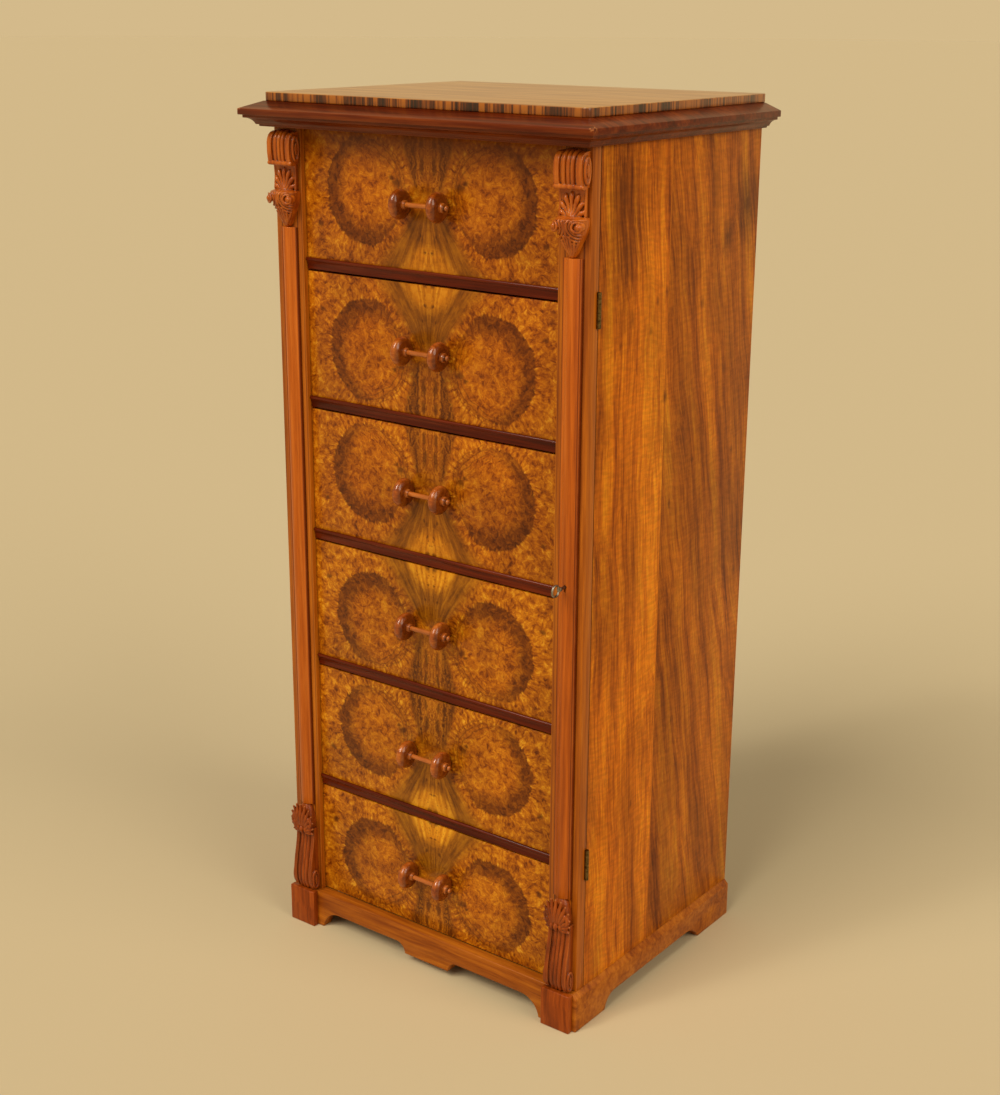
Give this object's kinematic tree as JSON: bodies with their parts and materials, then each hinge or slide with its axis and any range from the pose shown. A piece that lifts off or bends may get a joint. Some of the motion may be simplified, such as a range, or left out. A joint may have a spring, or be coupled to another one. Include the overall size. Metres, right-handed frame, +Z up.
{
  "type": "wellington chest",
  "caption": "Tall narrow wooden chest of drawers with a hinged locking flap over the drawers' edge, carved corbels, turned handles and a plinth.",
  "frame": {"origin": "middle of the footprint on the floor", "axes": "+Z up, the drawers face -Y, +X to the right seen from the front"},
  "size_m": [0.567, 0.439, 1.22],
  "materials": {
    "burr_veneer": "french polished",
    "polished_veneer": "french polished",
    "polished_solid": "french polished",
    "dark_moulding": "french polished",
    "carcase_wood": "plain",
    "hinge_brass": "aged",
    "lock_steel": "worn"
  },
  "bodies": {
    "carcase": {"left_side_panel": "polished_veneer", "right_side_panel": "polished_veneer", "left_stile": "polished_veneer", "top_slab": "polished_veneer", "cornice_front": "polished_solid", "cornice_left": "polished_solid", "cornice_right": "polished_solid", "left_stile_moulding": "polished_solid", "left_corbel": "polished_solid", "left_foot_carving": "polished_solid", "plinth_front": "polished_solid", "plinth_left": "polished_solid", "plinth_right": "polished_solid", "plinth_blocks": "polished_solid", "cornice_back_rail": "carcase_wood", "back_panel": "carcase_wood", "carcase_bottom": "carcase_wood", "sub_top": "carcase_wood", "dust_boards": "carcase_wood", "drawer_guides": "carcase_wood", "drawer_stops": "carcase_wood", "inner_posts": "carcase_wood", "plinth_back": "carcase_wood", "plinth_glue_blocks": "carcase_wood", "hinge_fixed_leaves": "hinge_brass", "hinge_pins": "hinge_brass", "lock_link_plate": "lock_steel", "carcase_hinge_screws": "lock_steel"},
    "locking_flap": {"flap_stile": "polished_veneer", "flap_moulding": "polished_solid", "flap_corbel": "polished_solid", "flap_foot_carving": "polished_solid", "hinge_flap_leaves": "hinge_brass", "flap_hinge_screws": "lock_steel", "lock_case": "lock_steel"},
    "bolt": {"lock_bolt": "lock_steel"},
    "key": {"key": "lock_steel"},
    "drawer_1": {"drawer_1_front": "burr_veneer", "drawer_1_box": "carcase_wood", "drawer_1_handle": "polished_solid", "drawer_1_strip": "dark_moulding"},
    "drawer_2": {"drawer_2_front": "burr_veneer", "drawer_2_box": "carcase_wood", "drawer_2_handle": "polished_solid", "drawer_2_strip": "dark_moulding"},
    "drawer_3": {"drawer_3_front": "burr_veneer", "drawer_3_box": "carcase_wood", "drawer_3_handle": "polished_solid", "drawer_3_strip": "dark_moulding"},
    "drawer_4": {"drawer_4_front": "burr_veneer", "drawer_4_box": "carcase_wood", "drawer_4_handle": "polished_solid", "drawer_4_strip": "dark_moulding"},
    "drawer_5": {"drawer_5_front": "burr_veneer", "drawer_5_box": "carcase_wood", "drawer_5_handle": "polished_solid", "drawer_5_strip": "dark_moulding"},
    "drawer_6": {"drawer_6_front": "burr_veneer", "drawer_6_box": "carcase_wood", "drawer_6_handle": "polished_solid"}
  },
  "joints": [
    {"name": "drawer_1_slide", "type": "slide", "parent": "carcase", "child": "drawer_1", "axis": [0, -1, 0], "range_m": [0, 0.3]},
    {"name": "drawer_2_slide", "type": "slide", "parent": "carcase", "child": "drawer_2", "axis": [0, -1, 0], "range_m": [0, 0.3]},
    {"name": "drawer_3_slide", "type": "slide", "parent": "carcase", "child": "drawer_3", "axis": [0, -1, 0], "range_m": [0, 0.3]},
    {"name": "drawer_4_slide", "type": "slide", "parent": "carcase", "child": "drawer_4", "axis": [0, -1, 0], "range_m": [0, 0.3]},
    {"name": "drawer_5_slide", "type": "slide", "parent": "carcase", "child": "drawer_5", "axis": [0, -1, 0], "range_m": [0, 0.3]},
    {"name": "drawer_6_slide", "type": "slide", "parent": "carcase", "child": "drawer_6", "axis": [0, -1, 0], "range_m": [0, 0.3]},
    {"name": "flap_swing", "type": "hinge", "parent": "carcase", "child": "locking_flap", "pos_m": [0.2575, -0.16265, 0.6165], "axis": [0, 0, 1], "range_deg": [0, 170]},
    {"name": "key_turn", "type": "hinge", "parent": "locking_flap", "child": "key", "pos_m": [0.2325, -0.1885, 0.634], "axis": [0, -1, 0], "range_deg": [0, 180]},
    {"name": "bolt_throw", "type": "slide", "parent": "locking_flap", "child": "bolt", "axis": [-1, 0, 0], "range_m": [0, 0.008]}
  ],
  "couplings": [
    {"joint": "bolt_throw", "follows": "key_turn", "m_per_rad": 0.0025465}
  ]
}
